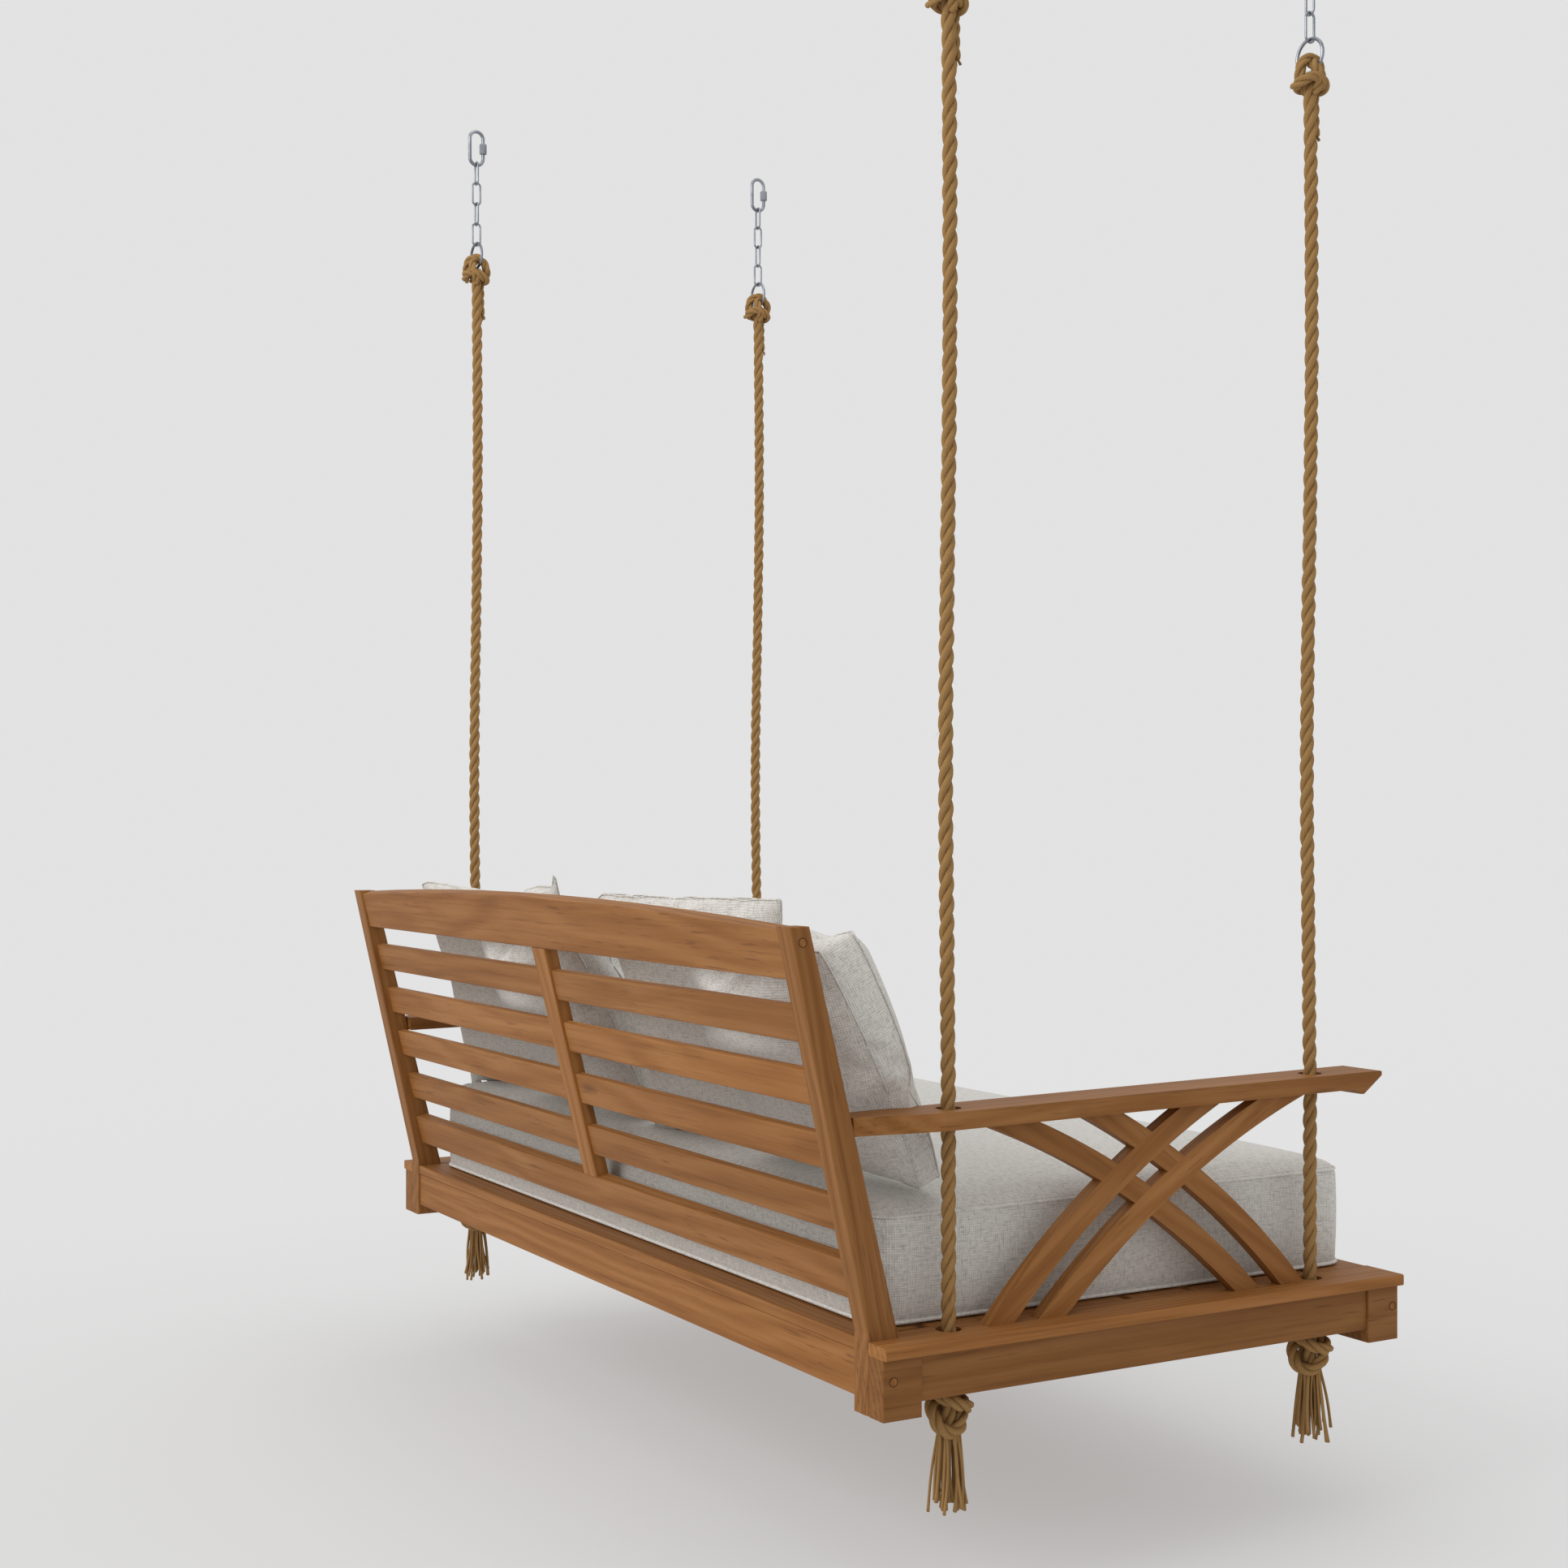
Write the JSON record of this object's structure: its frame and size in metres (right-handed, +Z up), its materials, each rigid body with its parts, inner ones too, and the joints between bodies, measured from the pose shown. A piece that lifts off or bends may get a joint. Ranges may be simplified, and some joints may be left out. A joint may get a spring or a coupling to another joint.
{
  "type": "porch swing",
  "caption": "Slatted teak hanging bench with arms and lattice side braces, seat cushion and loose pillows, hung from knotted ropes, rings, short chains and quick links.",
  "frame": {"origin": "the middle of the four points where the quick links hang, at the height of the upper bows' inner top", "axes": "+Z up, -Y the way the seat faces, +X to the left hand of a person sitting on it"},
  "size_m": [1.83, 1.064, 2.3702],
  "materials": {
    "teak": "oiled, lengthwise grain",
    "zinc_steel": "bright zinc plate",
    "rope": "three-strand hairy manila",
    "cushion_fabric": "plain woven, speckled",
    "pillow_fabric": "plain woven, speckled"
  },
  "bodies": {
    "quick_links": {"quick_links": "zinc_steel"},
    "nut_rear_left": {"quick_link_nut_rear_left": "zinc_steel"},
    "nut_front_left": {"quick_link_nut_front_left": "zinc_steel"},
    "nut_rear_right": {"quick_link_nut_rear_right": "zinc_steel"},
    "nut_front_right": {"quick_link_nut_front_right": "zinc_steel"},
    "hanger_rear_left": {"chain_rear_left": "zinc_steel", "rope_rear_left": "rope"},
    "hanger_front_left": {"chain_front_left": "zinc_steel", "rope_front_left": "rope"},
    "hanger_rear_right": {"chain_rear_right": "zinc_steel", "rope_rear_right": "rope"},
    "hanger_front_right": {"chain_front_right": "zinc_steel", "rope_front_right": "rope"},
    "bench": {"arm_brace_left_1": "teak", "arm_brace_left_2": "teak", "arm_brace_left_3": "teak", "arm_brace_left_4": "teak", "arm_brace_right_1": "teak", "arm_brace_right_2": "teak", "arm_brace_right_3": "teak", "arm_brace_right_4": "teak", "arm_left": "teak", "arm_right": "teak", "back_bottom_rail": "teak", "back_mullion": "teak", "back_pillow_left": "pillow_fabric", "back_pillow_right": "pillow_fabric", "back_slat_left_1": "teak", "back_slat_left_2": "teak", "back_slat_left_3": "teak", "back_slat_left_4": "teak", "back_slat_right_1": "teak", "back_slat_right_2": "teak", "back_slat_right_3": "teak", "back_slat_right_4": "teak", "back_top_rail": "teak", "corner_block_front_left": "teak", "corner_block_front_right": "teak", "corner_block_rear_left": "teak", "corner_block_rear_right": "teak", "front_apron": "teak", "rear_apron": "teak", "rope_end_front_left": "rope", "rope_end_front_right": "rope", "rope_end_rear_left": "rope", "rope_end_rear_right": "rope", "seat_bearers": "teak", "seat_cushion": "cushion_fabric", "seat_slat_rear": "teak", "seat_slats": "teak", "side_board_left": "teak", "side_board_right": "teak", "side_rail_left": "teak", "side_rail_right": "teak", "stile_left": "teak", "stile_right": "teak", "throw_pillow_left": "pillow_fabric", "throw_pillow_right": "pillow_fabric", "wood_plugs": "teak"}
  },
  "joints": [
    {"name": "nut_travel_rear_left", "type": "slide", "parent": "quick_links", "child": "nut_rear_left", "axis": [0, 0, 1], "range_m": [0, 0.0075]},
    {"name": "nut_travel_front_left", "type": "slide", "parent": "quick_links", "child": "nut_front_left", "axis": [0, 0, 1], "range_m": [0, 0.0075]},
    {"name": "nut_travel_rear_right", "type": "slide", "parent": "quick_links", "child": "nut_rear_right", "axis": [0, 0, 1], "range_m": [0, 0.0075]},
    {"name": "nut_travel_front_right", "type": "slide", "parent": "quick_links", "child": "nut_front_right", "axis": [0, 0, 1], "range_m": [0, 0.0075]},
    {"name": "swing_rear_left", "type": "hinge", "parent": "quick_links", "child": "hanger_rear_left", "pos_m": [-0.86, 0.3325, -0.0597], "axis": [1, 0, 0], "range_deg": [-15, 15]},
    {"name": "swing_front_left", "type": "hinge", "parent": "quick_links", "child": "hanger_front_left", "pos_m": [-0.86, -0.3325, -0.0597], "axis": [1, 0, 0], "range_deg": [-15, 15]},
    {"name": "swing_rear_right", "type": "hinge", "parent": "quick_links", "child": "hanger_rear_right", "pos_m": [0.86, 0.3325, -0.0597], "axis": [1, 0, 0], "range_deg": [-15, 15]},
    {"name": "swing_front_right", "type": "hinge", "parent": "quick_links", "child": "hanger_front_right", "pos_m": [0.86, -0.3325, -0.0597], "axis": [1, 0, 0], "range_deg": [-15, 15]},
    {"name": "bench_level", "type": "hinge", "parent": "hanger_rear_left", "child": "bench", "pos_m": [-0.86, 0.3325, -1.821], "axis": [1, 0, 0], "range_deg": [-15, 15]}
  ],
  "couplings": [
    {"joint": "swing_front_left", "follows": "swing_rear_left", "ratio": 1},
    {"joint": "swing_rear_right", "follows": "swing_rear_left", "ratio": 1},
    {"joint": "swing_front_right", "follows": "swing_rear_left", "ratio": 1},
    {"joint": "bench_level", "follows": "swing_rear_left", "ratio": -1}
  ]
}
